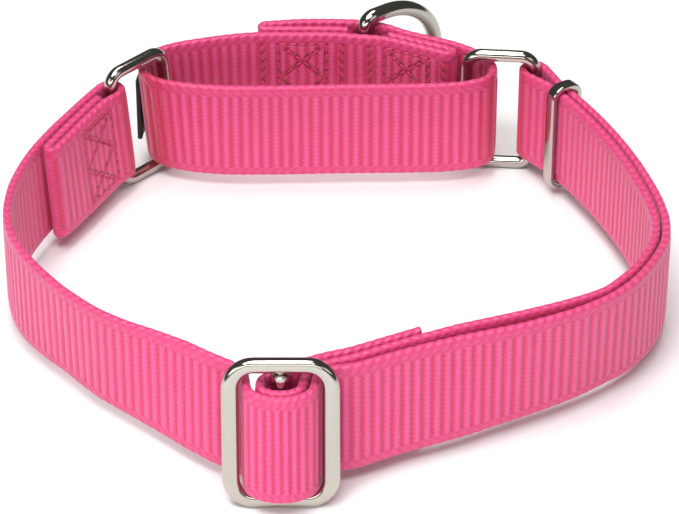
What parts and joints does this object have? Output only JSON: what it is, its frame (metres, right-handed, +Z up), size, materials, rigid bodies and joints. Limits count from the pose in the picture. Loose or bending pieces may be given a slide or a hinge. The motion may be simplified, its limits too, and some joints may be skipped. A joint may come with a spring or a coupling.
{
  "type": "martingale collar",
  "caption": "Adjustable webbing dog collar whose neck strap is joined by two metal rings to a short control loop with a leash ring.",
  "frame": {"origin": "middle of the collar's base, on the surface it stands on", "axes": "+Z up, +Y towards the control loop and its leash ring at the back of the neck, -Y towards the tri-glide, +X towards the keeper's side"},
  "size_m": [0.151, 0.1658, 0.0351],
  "materials": {
    "pink_webbing": "cross-ribbed nylon webbing with braided edges",
    "pink_thread": "bonded nylon thread",
    "black_label": "matte",
    "nickel_plate": "polished nickel plate"
  },
  "bodies": {
    "neck": {"neck_strap": "pink_webbing", "strap_end_seam": "pink_thread", "glide_end_seam": "pink_thread"},
    "left_ring": {"left_ring": "nickel_plate"},
    "right_ring": {"right_ring": "nickel_plate"},
    "loop": {"control_loop": "pink_webbing", "loop_box_left": "pink_thread", "loop_box_right": "pink_thread", "loop_end_tack": "pink_thread", "d_ring_tack": "pink_thread", "loop_turn_tack": "pink_thread", "label_seam": "pink_thread", "label": "black_label"},
    "d_ring": {"d_ring": "nickel_plate"},
    "keeper": {"keeper": "nickel_plate"},
    "tri_glide": {"tri_glide_frame": "nickel_plate", "tri_glide_pin": "nickel_plate"}
  },
  "joints": [
    {"name": "control_loop_draw", "type": "slide", "parent": "neck", "child": "loop", "axis": [0, 1, 0], "range_m": [-0.004, 0.004]},
    {"name": "left_ring_swing", "type": "hinge", "parent": "neck", "child": "left_ring", "pos_m": [-0.05296, 0.04204, 0.0168], "axis": [0, 0, 1], "range_deg": [-8, 8]},
    {"name": "right_ring_swing", "type": "hinge", "parent": "neck", "child": "right_ring", "pos_m": [0.04764, 0.05074, 0.0168], "axis": [0, 0, 1], "range_deg": [-14.5, 14.5]},
    {"name": "d_ring_swing", "type": "hinge", "parent": "loop", "child": "d_ring", "pos_m": [0.00694, 0.06844, 0.0168], "axis": [0, 0, 1], "range_deg": [-15, 100]},
    {"name": "keeper_slide", "type": "hinge", "parent": "neck", "child": "keeper", "pos_m": [-0.06166, -0.03256, 0.0168], "axis": [0, 0, 1], "range_deg": [-18, 0]},
    {"name": "tri_glide_rock", "type": "hinge", "parent": "neck", "child": "tri_glide", "pos_m": [-0.01166, -0.07456, 0.0168], "axis": [0, 0.1908, 0.9816], "range_deg": [-4, 4]}
  ],
  "couplings": [
    {"joint": "left_ring_swing", "follows": "control_loop_draw", "rad_per_m": 33.2},
    {"joint": "right_ring_swing", "follows": "control_loop_draw", "rad_per_m": -61.9}
  ]
}
